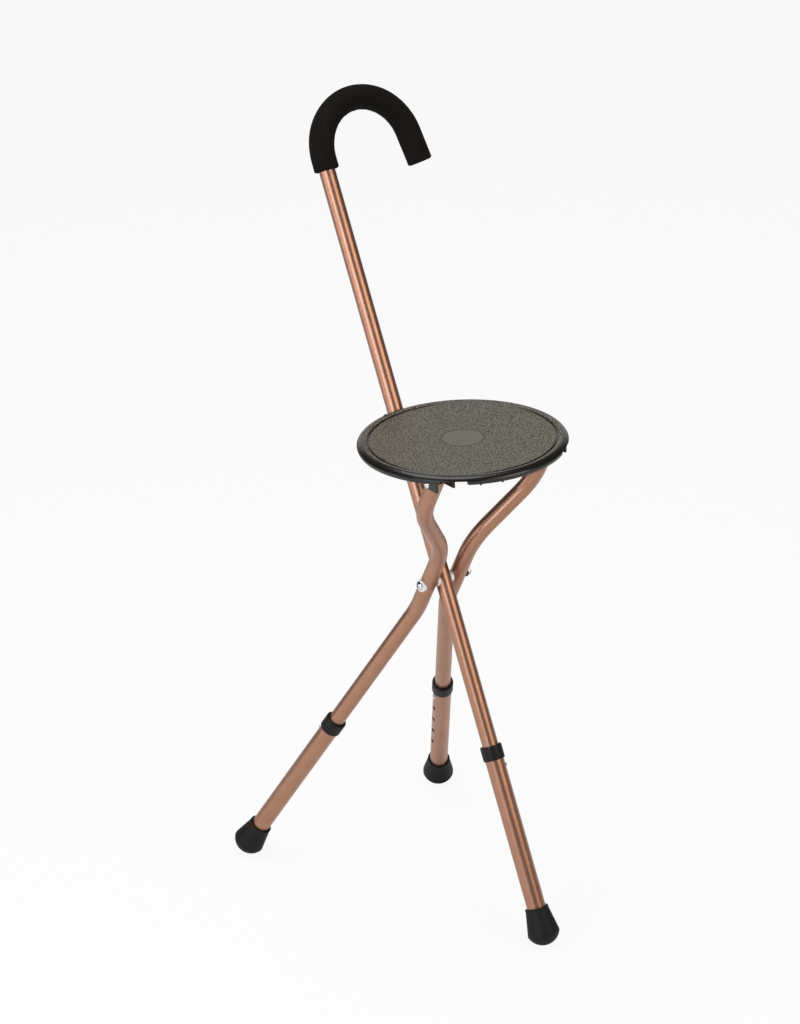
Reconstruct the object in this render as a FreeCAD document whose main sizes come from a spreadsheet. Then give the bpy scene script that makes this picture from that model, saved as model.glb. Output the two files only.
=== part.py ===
import FreeCAD, Part
import math
import os
import Sketcher

# A walking stick that opens into a three-legged seat.
# Z is up, the stick's own foot stands at the origin, X points the way that foot reaches out,
# and the two folding legs stand at -X, leg A at -Y and leg B at +Y. Sizes are millimetres
# and degrees. Heights "up" a tube are measured along that tube.

doc = FreeCAD.newDocument("walking_stick_seat")
Vec = FreeCAD.Vector
Turn = FreeCAD.Rotation
Place = FreeCAD.Placement

SIZES = (
    # The stick and the bent legs
    ("shaft_lean", 24.1),           # stick from the vertical, towards -X at the top
    ("leg_lean", 30.45),            # legs from the vertical, seen from the side
    ("tube_radius", 9.525),
    ("tube_wall", 1.2),
    ("pivot_up", 422.5),            # bolt above the foot's centre
    ("leg_offset", 21.2),           # leg beside the stick at the bolt
    ("foot_side", 141.7),           # leg foot from the middle
    ("low_bend", 45.8),             # bends below and above the bolt
    ("mid_bend", 62.0),
    ("top_bend", 147.2),
    ("low_bend_radius", 86.0),
    ("mid_bend_radius", 92.0),
    ("top_bend_radius", 76.0),
    ("pin_up", 203.4),              # seat pin above the bolt
    ("pin_side", 77.5),
    ("leg_end_radius", 10.2),       # round end of the leg about the seat pin
    ("plug_depth", 22.0),
    # The crook and its foam grip
    ("grip_start", 908.7),
    ("crook_start", 921.6),
    ("crook_radius", 60.8),
    ("crook_turn", 172.4),
    ("crook_tail", 36.6),
    ("grip_radius", 14.7),
    ("grip_gap", 0.1),
    ("grip_overhang", 1.5),
    ("crook_plug_depth", 12.0),
    # The telescopic feet, from the centre of the ferrule's dome
    ("dome_radius", 20.0),
    ("foot_flat", 0.6),             # depth of the worn flat under each dome
    ("ferrule_edge_drop", 6.3),
    ("ferrule_lip_radius", 13.8),
    ("ferrule_top", 25.5),
    ("ferrule_lip", 3.0),
    ("sleeve_foot", 3.2),
    ("sleeve_length", 214.1),
    ("sleeve_wall", 1.5),
    ("slide_gap", 0.08),
    ("seat_gap", 0.05),
    ("collar_rest", 0.4),           # between the sleeve's top and the collar's lip
    ("collar_length", 17.0),
    ("collar_radius", 12.8),
    ("collar_lip", 3.6),
    ("collar_round", 1.2),
    ("button_drop", 10.0),          # button below the collar
    ("button_radius", 3.0),
    ("button_gap", 0.08),
    ("button_stand", 2.4),          # button proud of the sleeve
    ("button_crown", 1.2),
    ("hole_pitch", 28.0),
    ("hole_count", 5),
    ("tube_below_button", 25.0),
    ("clip_thick", 0.8),
    ("clip_width", 5.0),
    ("clip_gap", 0.42),
    ("clip_above", 7.0),
    ("clip_below", 20.0),
    # The bolt through the three tubes
    ("bolt_radius", 3.0),
    ("pivot_gap", 0.05),
    ("body_gap", 0.3),
    ("head_radius", 5.6),
    ("head_height", 3.4),
    ("saddle_radius", 7.4),
    ("saddle_thick", 1.8),
    ("saddle_wrap", 2.6),
    ("washer_radius", 6.6),
    ("washer_thick", 1.3),
    ("nut_flats", 10.0),
    ("nut_height", 4.6),
    ("thread_stand", 1.4),
    ("spacer_radius", 7.0),
    ("spacer_wrap", 2.4),
    # The seat
    ("seat_radius", 119.0),
    ("rim_depth", 8.2),
    ("rim_inset", 1.4),
    ("rim_wall", 3.4),
    ("rim_crown", 0.9),
    ("rim_band", 12.6),             # groove in from the seat's edge
    ("groove_width", 1.6),
    ("groove_depth", 1.0),
    ("shell_thick", 3.5),
    ("cap_radius", 23.5),
    ("cap_thick", 1.3),
    ("cap_gap", 0.35),
    ("pin_forward", 54.6),          # seat pin ahead of the seat's centre
    ("pin_depth", 14.8),            # seat pin below the top
    ("channel_half", 11.3),         # half width of the channel that a leg's top turns in
    ("notch_inner", 13.6),          # the rim's notch reaches further to its inner side
    ("notch_start", 21.4),          # ahead of the seat pin
    ("cheek_gap", 0.6),
    ("cheek_thick", 2.6),
    ("cheek_front", 18.6),
    ("cheek_low", 4.4),
    ("cheek_round", 6.2),
    ("rib_thick", 2.0),
    ("rib_ring", 60.0),
    ("rib_count", 12),
    ("tooth_drop", 2.4),
    ("tooth_length", 14.0),
    ("rivet_radius", 2.5),
    ("rivet_head_radius", 4.4),
    ("rivet_head_height", 1.9),
    # The hook under the seat and the pin that it drops on
    ("stop_drop", 17.0),            # stop pin below the seat's top
    ("stop_pin_radius", 2.5),
    ("stop_pin_half", 15.4),
    ("hook_gap", 0.9),
    ("hook_thick", 3.6),
    ("hook_slot_gap", 0.4),
    ("hook_plate", 3.0),
    ("hook_plate_front", -66.0),
    ("hook_plate_back", -99.0),
    ("hook_plate_half", 24.0),
    ("hook_arm_root", 14.0),        # arms start behind the plate's front
    ("hook_tail", 9.0),
    ("hook_below", 4.4),
    ("screw_side", 18.5),
    ("screw_back", -76.0),
    ("screw_radius", 1.75),
    ("screw_head_radius", 3.6),
    ("screw_head_height", 2.2),
    ("screw_length", 7.6),
    ("boss_radius", 4.5),
)

sheet = doc.addObject("Spreadsheet::Sheet", "sizes")
for row, (name, value) in enumerate(SIZES, 1):
    sheet.set("A%d" % row, name)
    sheet.set("B%d" % row, str(value))
    sheet.setAlias("B%d" % row, name)

# Sizes that follow from the ones above
FOLLOWING = (
    ("tube_bore", "=tube_radius - tube_wall"),
    ("sleeve_bore", "=tube_radius + slide_gap"),
    ("sleeve_radius", "=tube_radius + slide_gap + sleeve_wall"),
    ("sleeve_seat", "=tube_radius + slide_gap + sleeve_wall + seat_gap"),
    ("collar_foot", "=sleeve_foot + sleeve_length + collar_rest - collar_length + collar_lip"),
    ("ferrule_edge_radius", "=sqrt(dome_radius * dome_radius - ferrule_edge_drop * ferrule_edge_drop)"),
    ("ferrule_lip_foot", "=ferrule_top - ferrule_lip"),
    ("collar_inner_top", "=collar_length - collar_lip"),
    ("collar_edge", "=collar_radius - collar_round"),
    ("collar_shoulder", "=collar_length - collar_round"),
    ("button_hole", "=button_radius + button_gap"),
    ("clip_half_spread", "=tube_radius - tube_wall - clip_gap"),
    ("button_root", "=tube_radius - tube_wall - clip_gap + seat_gap"),
    ("button_reach", "=tube_radius + slide_gap + sleeve_wall + button_stand"),
    ("button_shoulder", "=tube_radius + slide_gap + sleeve_wall + button_stand - button_crown"),
    ("button_dome", "=(button_radius * button_radius + button_crown * button_crown) / (2 * button_crown)"),
    ("pivot_hole", "=bolt_radius + pivot_gap"),
    ("grip_bore", "=tube_radius + grip_gap"),
    ("plug_radius", "=tube_radius - tube_wall - seat_gap"),
    ("rim_edge", "=seat_radius - rim_inset"),
    ("rim_inner", "=seat_radius - rim_inset - rim_wall"),
    ("rim_waist", "=rim_depth * 0.45"),
    ("groove_radius", "=seat_radius - rim_band"),
    ("groove_inner", "=seat_radius - rim_band - groove_width"),
    ("groove_out", "=seat_radius - rim_band + groove_width"),
    ("rim_top", "=seat_radius - (rim_band - groove_width) / 2"),
    ("rim_arc", "=rim_band * 0.62"),
    ("cap_recess", "=cap_radius + cap_gap"),
    ("rivet_hole", "=rivet_radius + pivot_gap"),
    ("head_dome", "=(head_radius * head_radius + head_height * head_height) / (2 * head_height)"),
    ("rivet_dome", "=(rivet_head_radius * rivet_head_radius + rivet_head_height * rivet_head_height)"
                   " / (2 * rivet_head_height)"),
    ("screw_dome", "=(screw_head_radius * screw_head_radius + screw_head_height * screw_head_height)"
                   " / (2 * screw_head_height)"),
)
for row, (name, formula) in enumerate(FOLLOWING, len(SIZES) + 1):
    sheet.set("A%d" % row, name)
    sheet.set("B%d" % row, formula)
    sheet.setAlias("B%d" % row, name)
doc.recompute()


def size(name):
    """Value of one cell; a leading minus turns its sign."""
    return -float(sheet.get(name[1:])) if name.startswith("-") else float(sheet.get(name))


def plane_of(body, role):
    return next(f for f in body.Origin.OriginFeatures if f.Role == role)


def outline_sketch(body, outline):
    """Closed outline in the body's XZ plane, every corner and radius held by a cell.

    A corner is (x, z) or (x, z, arc, side): the edge that ends there is an arc of that
    radius whose centre lies to the left (1) or the right (-1) of the way it is drawn.
    """
    sketch = body.newObject("Sketcher::SketchObject", body.Name + "_outline")
    sketch.AttachmentSupport = (plane_of(body, "XZ_Plane"), [""])
    sketch.MapMode = "FlatFace"
    at = [Vec(size(c[0]) if c[0] else 0.0, size(c[1]) if c[1] else 0.0, 0) for c in outline]
    ends = []
    for i, corner in enumerate(outline):
        start, end = at[i - 1], at[i]
        if len(corner) == 2:
            sketch.addGeometry(Part.LineSegment(start, end), False)
            ends.append((1, 2))
            continue
        radius, side = size(corner[2]), corner[3]
        along = end - start
        reach = math.sqrt(radius ** 2 - (along.Length / 2) ** 2)
        left = Vec(-along.y, along.x, 0).normalize()
        middle = (start + end) * 0.5 + left * (reach * side)
        first, last = (start, end) if side > 0 else (end, start)
        circle = Part.Circle(middle, Vec(0, 0, 1), radius)
        sketch.addGeometry(Part.ArcOfCircle(circle, circle.parameter(first), circle.parameter(last)), False)
        ends.append((1, 2) if side > 0 else (2, 1))
    for i in range(len(outline)):
        nxt = (i + 1) % len(outline)
        sketch.addConstraint(Sketcher.Constraint("Coincident", i, ends[i][1], nxt, ends[nxt][0]))
    for i, corner in enumerate(outline):
        for cell, kind, axis in ((corner[0], "DistanceX", -2), (corner[1], "DistanceY", -1)):
            if not cell:
                sketch.addConstraint(Sketcher.Constraint("PointOnObject", i, ends[i][1], axis))
                continue
            low = cell.startswith("-")
            pair = (i, ends[i][1], -1, 1) if low != (size(cell.lstrip("-")) < 0) else (-1, 1, i, ends[i][1])
            number = sketch.addConstraint(Sketcher.Constraint(kind, *pair, abs(size(cell))))
            sign = "-" if size(cell.lstrip("-")) < 0 else ""
            sketch.setExpression("Constraints[%d]" % number, sign + "sizes." + cell.lstrip("-"))
        if len(corner) > 2:
            number = sketch.addConstraint(Sketcher.Constraint("Radius", i, size(corner[2])))
            sketch.setExpression("Constraints[%d]" % number, "sizes." + corner[2])
    return sketch


def turned(name, outline, place=Place()):
    """Body turned about its own Z axis; the outline gives radius and height."""
    body = doc.addObject("PartDesign::Body", name)
    sketch = outline_sketch(body, outline)
    turn = body.newObject("PartDesign::Revolution", name + "_turn")
    turn.Profile = sketch
    turn.ReferenceAxis = (sketch, ["V_Axis"])
    turn.Angle = 360.0
    body.Tip = turn
    body.Placement = place
    return body


def rod(name, radius, length, place):
    """Cylinder along its own Z axis; radius and length are cells, length may be a number."""
    thing = doc.addObject("Part::Cylinder", name)
    thing.setExpression("Radius", "sizes." + radius)
    if isinstance(length, str):
        thing.setExpression("Height", "sizes." + length)
    else:
        thing.Height = length
    thing.Placement = place
    return thing


def block(name, low, high, place=Place()):
    """Box between two corners."""
    thing = doc.addObject("Part::Box", name)
    thing.Length, thing.Width, thing.Height = (high[i] - low[i] for i in range(3))
    thing.Placement = place * Place(Vec(*low), Turn())
    return thing


def fused(name, things):
    thing = doc.addObject("Part::MultiFuse", name)
    thing.Shapes = things
    return thing


def cut(name, base, tools, place=Place()):
    """The base less its tools; place moves the finished piece."""
    thing = doc.addObject("Part::Cut", name)
    thing.Base = base
    thing.Tool = tools[0] if len(tools) == 1 else fused(name + "_tools", tools)
    thing.Placement = place
    return thing


def common(name, base, tool, place=Place()):
    thing = doc.addObject("Part::Common", name)
    thing.Base, thing.Tool = base, tool
    thing.Placement = place
    return thing


def bent_wire(points, radii):
    """Straight runs through the points, joined by tangent arcs at the inner ones."""
    edges, here = [], points[0]
    for before, corner, after, radius in zip(points, points[1:], points[2:], radii):
        back = (before - corner).normalize()
        ahead = (after - corner).normalize()
        half_turn = (math.pi - back.getAngle(ahead)) / 2
        reach = radius * math.tan(half_turn)
        start, end = corner + back * reach, corner + ahead * reach
        inward = (back + ahead).normalize()
        middle = corner + inward * (radius / math.cos(half_turn) - radius)
        edges += [Part.LineSegment(here, start).toShape(), Part.Arc(start, middle, end).toShape()]
        here = end
    edges.append(Part.LineSegment(here, points[-1]).toShape())
    return Part.Wire(edges)


def swept(name, wire, radius):
    """Round bar along a wire that starts along Z."""
    path = doc.addObject("Part::Feature", name + "_path")
    path.Shape = wire
    ring = doc.addObject("Part::Circle", name + "_ring")
    ring.setExpression("Radius", "sizes." + radius)
    ring.Placement = Place(wire.Edges[0].valueAt(wire.Edges[0].FirstParameter), Turn())
    sweep = doc.addObject("Part::Sweep", name)
    sweep.Sections = [ring]
    sweep.Spine = (path, ["Edge%d" % (i + 1) for i in range(len(wire.Edges))])
    sweep.Solid = True
    return sweep


def along_y(x, y, z):
    """Placement whose Z axis points along +Y from the given point."""
    return Place(Vec(x, y, z), Turn(Vec(1, 0, 0), -90))


def outward(turn, up):
    """Placement at a height on a tube, its Z axis square to the tube at an angle about it."""
    return Place(Vec(0, 0, up), Turn(Vec(0, 0, 1), turn) * Turn(Vec(0, 1, 0), 90))


NODES = {}


def keep(name, thing):
    thing.Label = name
    NODES[name] = thing
    return thing


# Frames: the stick, the legs' side view from the bolt, and each foot
foot_height = size("dome_radius") - size("foot_flat")
shaft_frame = Place(Vec(0, 0, foot_height), Turn(Vec(0, 1, 0), -size("shaft_lean")))
bolt_point = shaft_frame.multVec(Vec(0, 0, size("pivot_up")))
leg_frame = Place(bolt_point, Turn(Vec(0, 1, 0), size("leg_lean")))
lean_a, lean_b = math.radians(size("shaft_lean")), math.radians(size("leg_lean"))
leg_reach = size("pivot_up") * math.cos(lean_a) / math.cos(lean_b)
splay = math.degrees(math.atan2(size("foot_side") - size("leg_offset"), leg_reach - size("low_bend")))
SIDES = {"leg_a": -1, "leg_b": 1}


def foot_place(side):
    """Foot centre in the leg frame, its Z axis up the lower leg."""
    return Place(Vec(0, side * size("foot_side"), -leg_reach), Turn(Vec(1, 0, 0), side * splay))


# Where each snap button looks, as an angle about its tube: 90 is towards +Y
BUTTON_TURN = {"shaft": 90, "leg_a": 180, "leg_b": -90}
button_up = size("collar_foot") - size("button_drop")
tube_end = button_up - size("tube_below_button")


def foot_parts(name, frame):
    """Sleeve, collar, ferrule, snap button and its clip on one leg."""
    turn = BUTTON_TURN[name]
    sleeve_place = Place(Vec(0, 0, size("sleeve_foot")), Turn())
    tools = [rod(name + "_sleeve_bore", "sleeve_bore", "sleeve_length", sleeve_place)]
    for step in range(int(size("hole_count"))):
        hole = outward(turn, button_up - step * size("hole_pitch"))
        tools.append(rod("%s_hole_%d" % (name, step), "button_hole", size("sleeve_radius") + 2, hole))
    barrel = rod(name + "_sleeve_bar", "sleeve_radius", "sleeve_length", sleeve_place)
    keep(name + "_sleeve", cut(name + "_sleeve_cut", barrel, tools, frame))

    collar_place = frame * Place(Vec(0, 0, size("collar_foot")), Turn())
    keep(name + "_collar", turned(name + "_collar_body", (
        ("sleeve_seat", 0), ("collar_edge", 0), ("collar_radius", "collar_round", "collar_round", 1),
        ("collar_radius", "collar_shoulder"), ("collar_edge", "collar_length", "collar_round", 1),
        ("sleeve_bore", "collar_length"), ("sleeve_bore", "collar_inner_top"),
        ("sleeve_seat", "collar_inner_top")), collar_place))

    rubber = turned(name + "_ferrule_body", (
        (0, "-dome_radius"), ("ferrule_edge_radius", "-ferrule_edge_drop", "dome_radius", 1),
        ("ferrule_lip_radius", "ferrule_lip_foot"), ("ferrule_lip_radius", "ferrule_top"),
        ("sleeve_seat", "ferrule_top"), ("sleeve_seat", "sleeve_foot"), (0, "sleeve_foot")), frame)
    reach = 3 * size("dome_radius")
    middle = frame.Base
    floor = block(name + "_floor", (middle.x - reach, middle.y - reach, -reach),
                  (middle.x + reach, middle.y + reach, 0))
    keep(name + "_ferrule", cut(name + "_ferrule_cut", rubber, [floor]))

    keep(name + "_button", turned(name + "_button_body", (
        (0, "button_root"), ("button_radius", "button_root"), ("button_radius", "button_shoulder"),
        (0, "button_reach", "button_dome", 1)), frame * outward(turn, button_up)))

    wide, thick = size("clip_half_spread"), size("clip_thick")
    high, low = size("clip_above"), size("clip_below")
    near = -size("clip_width") / 2
    shape = [Vec(x, near, button_up + z) for x, z in (
        (wide, high), (wide - thick, high), (wide - thick, -low * 0.25), (-wide * 0.55, -low + thick * 1.5),
        (-wide + thick, -low * 0.8), (-wide + thick, high * 0.3), (-wide, high * 0.3), (-wide, -low * 0.82),
        (-wide * 0.6, -low), (wide, -low * 0.27))]
    strip = Part.Face(Part.makePolygon(shape + shape[:1])).extrude(Vec(0, size("clip_width"), 0))
    clip = doc.addObject("Part::Feature", name + "_clip_strip")
    clip.Shape = strip
    clip.Placement = frame * Place(Vec(), Turn(Vec(0, 0, 1), turn))
    keep(name + "_clip", clip)


def button_hole(name, place):
    """Hole for the snap button in the inner tube."""
    return rod(name + "_button_hole", "button_hole", size("tube_radius") + 2,
               place * outward(BUTTON_TURN[name], button_up))


# The stick: one tube from the sleeve in its foot to the tip of the crook
crook_side, crook_up = size("crook_radius"), size("crook_start")


def crook_point(angle, radius=None):
    radius = size("crook_radius") if radius is None else radius
    a = math.radians(angle)
    return Vec(0, crook_side - radius * math.cos(a), crook_up + radius * math.sin(a))


def crook_wire(start, tail):
    """Path up the stick, round the crook and down its tail."""
    turn = size("crook_turn")
    a = math.radians(turn)
    end = crook_point(turn)
    tip = end + Vec(0, math.sin(a), math.cos(a)) * tail
    return Part.Wire([Part.LineSegment(Vec(0, 0, start), crook_point(0)).toShape(),
                      Part.Arc(crook_point(0), crook_point(turn / 2), end).toShape(),
                      Part.LineSegment(end, tip).toShape()])


seat_top = leg_frame.multVec(Vec(0, 0, size("pin_up"))).z + size("pin_depth")
seat_middle = leg_frame.multVec(Vec(0, 0, size("pin_up"))).x - size("pin_forward")
seat_frame = Place(Vec(seat_middle, 0, seat_top), Turn())
stop_up = (seat_top - size("stop_drop") - foot_height) / math.cos(lean_a)
stop_point = shaft_frame.multVec(Vec(0, 0, stop_up))

shaft_bar = swept("shaft_bar", crook_wire(tube_end, size("crook_tail")), "tube_radius")
shaft_bore = swept("shaft_bore", crook_wire(tube_end - 1, size("crook_tail") + 1), "tube_bore")
bar_half = 2 * size("tube_radius")
bolt_way = rod("shaft_bolt_hole", "pivot_hole", 2 * bar_half, along_y(0, -bar_half, size("pivot_up")))
stop_way = rod("shaft_stop_hole", "stop_pin_radius", 2 * bar_half, along_y(0, -bar_half, stop_up))
keep("shaft_tube", cut("shaft_tube_cut", shaft_bar,
                       [shaft_bore, bolt_way, stop_way, button_hole("shaft", Place())], shaft_frame))

grip_tail = size("crook_tail") + size("grip_overhang")
grip_bar = swept("grip_bar", crook_wire(size("grip_start"), grip_tail), "grip_radius")
grip_way = swept("grip_way", crook_wire(size("grip_start") - 1, grip_tail + 1), "grip_bore")
keep("foam_grip", cut("foam_grip_cut", grip_bar, [grip_way], shaft_frame))

tail_turn = Turn(Vec(1, 0, 0), -size("crook_turn"))
tip_place = Place(crook_wire(0, size("crook_tail")).Edges[-1].Vertexes[-1].Point, tail_turn)
plug_place = shaft_frame * tip_place * Place(Vec(0, 0, -size("crook_plug_depth")), Turn())
keep("crook_plug", rod("crook_plug_rod", "plug_radius", "crook_plug_depth", plug_place))
foot_parts("shaft", shaft_frame)

# The two bent legs, mirror images of each other
for name, side in SIDES.items():
    foot = foot_place(side)
    low_end = foot.multVec(Vec(0, 0, tube_end))
    pin = Vec(0, side * size("pin_side"), size("pin_up"))
    top = pin + Vec(0, 0, 2 * size("leg_end_radius"))
    points = [top, Vec(0, pin.y, size("top_bend")), Vec(0, side * size("leg_offset"), size("mid_bend")),
              Vec(0, side * size("leg_offset"), -size("low_bend")), low_end]
    radii = [size("top_bend_radius"), size("mid_bend_radius"), size("low_bend_radius")]
    bar = swept(name + "_bar", bent_wire(points, radii), "tube_radius")
    points[0], points[-1] = top + Vec(0, 0, 1), foot.multVec(Vec(0, 0, tube_end - 1))
    bore = swept(name + "_bore", bent_wire(points, radii), "tube_bore")
    hollow = cut(name + "_hollow", bar, [
        bore, button_hole(name, foot),
        rod(name + "_bolt_hole", "pivot_hole", 4 * bar_half, along_y(0, -2 * bar_half, 0)),
        rod(name + "_pin_hole", "rivet_hole", bar_half, along_y(0, pin.y - bar_half / 2, pin.z))])
    # Everything above the pin is rounded about the pin
    wide = 4 * size("tube_radius")
    head = block(name + "_head", (-wide, pin.y - wide, pin.z), (wide, pin.y + wide, pin.z + wide))
    round_end = rod(name + "_round", "leg_end_radius", 2 * wide, along_y(0, pin.y - wide, pin.z))
    trim = cut(name + "_trim", head, [round_end])
    keep(name + "_tube", cut(name + "_tube_cut", hollow, [trim], leg_frame))

    plug_bar = rod(name + "_plug_bar", "plug_radius", size("plug_depth"),
                   Place(pin + Vec(0, 0, size("leg_end_radius") - size("plug_depth")), Turn()))
    plug = common(name + "_plug_round", plug_bar, fused(name + "_plug_mask", [
        rod(name + "_plug_top", "leg_end_radius", 2 * wide, along_y(0, pin.y - wide, pin.z)),
        block(name + "_plug_low", (-wide, pin.y - wide, pin.z - size("plug_depth")),
              (wide, pin.y + wide, pin.z))]))
    keep(name + "_plug", cut(name + "_plug_cut", plug, [
        rod(name + "_plug_hole", "rivet_hole", bar_half, along_y(0, pin.y - bar_half / 2, pin.z))], leg_frame))
    foot_parts(name, leg_frame * foot)

# The pivot: bolt, washers, spacers and nut, all along Y through the bolt point
crown = size("leg_offset") + size("tube_radius")
head_seat = crown + size("saddle_thick") + size("body_gap")
nut_seat = crown + 2 * size("body_gap") + size("washer_thick")
bolt_end = nut_seat + size("nut_height") + size("thread_stand")
bolt_frame = Place(bolt_point, Turn())
shank = rod("bolt_shank", "bolt_radius", head_seat + bolt_end, along_y(0, -head_seat, 0))
bolt_head = turned("bolt_head", ((0, 0), ("head_radius", 0), (0, "head_height", "head_dome", 1)),
                   Place(Vec(0, -head_seat, 0), Turn(Vec(1, 0, 0), 90)))
drive = rod("bolt_drive", "screw_radius", size("head_height"),
            along_y(0, -head_seat - size("head_height") - 1, 0))
bolt = cut("bolt_cut", fused("bolt_whole", [shank, bolt_head]), [drive], bolt_frame)
keep("pivot_bolt", bolt)

hexagon = doc.addObject("Part::Prism", "nut_hexagon")
hexagon.Polygon = 6
hexagon.setExpression("Circumradius", "sizes.nut_flats / sqrt(3)")
hexagon.setExpression("Height", "sizes.nut_height")
hexagon.Placement = along_y(0, nut_seat, 0)
nut_hole = rod("nut_hole", "pivot_hole", "nut_height", along_y(0, nut_seat, 0))
keep("pivot_nut", cut("nut_cut", hexagon, [nut_hole], bolt_frame))

washer_place = along_y(0, crown + size("body_gap") * 0.5, 0)
washer = rod("washer_disc", "washer_radius", "washer_thick", washer_place)
washer_hole = rod("washer_hole", "pivot_hole", "washer_thick", washer_place)
keep("nut_washer", cut("washer_cut", washer, [washer_hole], bolt_frame))


def tube_mould(name, y):
    """Bar a little larger than a tube, to cut a saddle that wraps it."""
    bar = rod(name, "tube_radius", 4 * bar_half, Place(Vec(0, y, -2 * bar_half), Turn()))
    bar.setExpression("Radius", "sizes.tube_radius + sizes.seat_gap")
    return bar


saddle_low = size("leg_offset") + size("tube_radius") - size("saddle_wrap")
saddle_deep = size("saddle_wrap") + size("saddle_thick")
saddle = rod("saddle_disc", "saddle_radius", saddle_deep, along_y(0, -saddle_low - saddle_deep, 0))
saddle_hole = rod("saddle_hole", "pivot_hole", 2 * saddle_deep, along_y(0, -saddle_low - 2 * saddle_deep, 0))
keep("saddle_washer", cut("saddle_cut", saddle, [
    tube_mould("saddle_mould", -size("leg_offset")), saddle_hole], leg_frame))

spacer_low = size("tube_radius") - size("spacer_wrap")
spacer_high = size("leg_offset") - size("tube_radius") - size("body_gap")
pivot_shaft_frame = Place(bolt_point, shaft_frame.Rotation)
for name, side in SIDES.items():
    start = spacer_low if side > 0 else -spacer_high
    disc = rod(name + "_spacer_disc", "spacer_radius", spacer_high - spacer_low, along_y(0, start, 0))
    hole = rod(name + "_spacer_hole", "pivot_hole", 2 * spacer_high, along_y(0, start - spacer_low, 0))
    keep(name + "_spacer", cut(name + "_spacer_cut", disc, [
        tube_mould(name + "_spacer_mould", 0), hole], pivot_shaft_frame))

stop_half = size("stop_pin_half")
keep("stop_pin", rod("stop_pin_rod", "stop_pin_radius", 2 * stop_half,
                     Place(stop_point, Turn()) * along_y(0, -stop_half, 0)))

# The seat, modelled about the centre of its top
top_disc = turned("seat_disc", (
    (0, "-shell_thick"), (0, "-cap_thick"), ("cap_recess", "-cap_thick"), ("cap_recess", 0),
    ("groove_inner", 0), ("groove_radius", "-groove_depth"), ("groove_out", 0),
    ("rim_top", "rim_crown", "rim_arc", -1), ("seat_radius", "-rim_waist", "rim_arc", -1),
    ("rim_edge", "-rim_depth", "rim_arc", -1), ("rim_inner", "-rim_depth"), ("rim_inner", "-shell_thick")))
under = -size("shell_thick") + 0.5
deep = -size("rim_depth")
ring_outer = rod("rib_ring_outer", "rib_ring", -deep + under, Place(Vec(0, 0, deep), Turn()))
ring_inner = rod("rib_ring_inner", "rib_ring", -deep + under, Place(Vec(0, 0, deep), Turn()))
ring_inner.setExpression("Radius", "sizes.rib_ring - sizes.rib_thick")
ribs = [cut("rib_ring_cut", ring_outer, [ring_inner])]
half_rib = size("rib_thick") / 2
inner_end = size("cap_radius")
for step in range(int(size("rib_count"))):
    spin = Place(Vec(), Turn(Vec(0, 0, 1), 360.0 * (step + 0.5) / size("rib_count")))
    ribs.append(block("rib_%d" % step, (inner_end, -half_rib, deep + 0.4),
                      (size("rim_inner") + 1, half_rib, under), spin))
tooth_end, tooth_low = size("rim_inner") - size("tooth_length"), deep - size("tooth_drop")
for step, angle in enumerate((-26.5, -14, 14, 26.5)):
    spin = Place(Vec(), Turn(Vec(0, 0, 1), angle))
    ribs.append(block("tooth_%d" % step, (tooth_end, -half_rib, tooth_low),
                      (size("rim_inner") + 1, half_rib, under), spin))

pin_x, pin_z = size("pin_forward"), -size("pin_depth")
cheeks, channels, pin_ways = [], [], []
clear = size("tube_radius") + size("cheek_gap")
for name, side in SIDES.items():
    leg_y = side * size("pin_side")
    low_z, back_x = pin_z - size("cheek_low"), pin_x - size("cheek_round")
    for label, inner in (("in", -side), ("out", side)):
        near = leg_y + inner * clear
        far = near + inner * size("cheek_thick")
        flat = [Vec(back_x, near, under), Vec(back_x, near, pin_z), Vec(pin_x, near, low_z),
                Vec(pin_x + size("cheek_front"), near, low_z), Vec(pin_x + size("cheek_front"), near, under)]
        bow = Part.Arc(flat[1], Vec(pin_x - size("cheek_round") * 0.75, near, pin_z - size("cheek_low") * 0.72),
                       flat[2]).toShape()
        lines = [Part.LineSegment(flat[i], flat[j]).toShape() for i, j in ((0, 1), (2, 3), (3, 4), (4, 0))]
        wall = Part.Face(Part.Wire([lines[0], bow] + lines[1:])).extrude(Vec(0, far - near, 0))
        cheek = doc.addObject("Part::Feature", "%s_cheek_%s" % (name, label))
        cheek.Shape = wall
        cheeks.append(cheek)
    channels.append(block(name + "_channel", (pin_x - size("channel_half"), leg_y - size("channel_half"),
                                              2 * pin_z), (2 * size("seat_radius"),
                                                           leg_y + size("channel_half"),
                                                           -size("shell_thick"))))
    notch_y = sorted((leg_y - side * size("notch_inner"), leg_y))
    channels.append(block(name + "_notch", (pin_x + size("notch_start"), notch_y[0], 2 * pin_z),
                          (2 * size("seat_radius"), notch_y[1], -size("shell_thick"))))
    span = size("channel_half") + 3 * size("cheek_thick")
    pin_ways.append(rod(name + "_pin_way", "rivet_radius", 2 * span, along_y(pin_x, leg_y - span, pin_z)))
    rivet_half = clear + size("cheek_thick") + size("seat_gap")
    body = rod(name + "_rivet_shank", "rivet_radius", 2 * rivet_half, along_y(pin_x, leg_y - rivet_half, pin_z))
    heads = [turned("%s_rivet_head_%d" % (name, i), (
        (0, 0), ("rivet_head_radius", 0), (0, "rivet_head_height", "rivet_dome", 1)),
        Place(Vec(pin_x, leg_y + way * rivet_half, pin_z), Turn(Vec(1, 0, 0), -90 * way)))
        for i, way in enumerate((-1, 1))]
    rivet = fused(name + "_rivet_whole", [body] + heads)
    rivet.Placement = seat_frame
    keep("seat_rivet_" + name[-1], rivet)

boss_low = deep
screw_x = size("screw_back")
bosses, boss_holes, screws = [], [], []
for i, way in enumerate((-1, 1)):
    spot = Vec(screw_x, way * size("screw_side"), boss_low)
    bosses.append(rod("boss_%d" % i, "boss_radius", under - boss_low, Place(spot, Turn())))
    boss_holes.append(rod("boss_hole_%d" % i, "screw_radius", size("screw_length") - size("hook_plate"),
                          Place(spot, Turn())))

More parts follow.
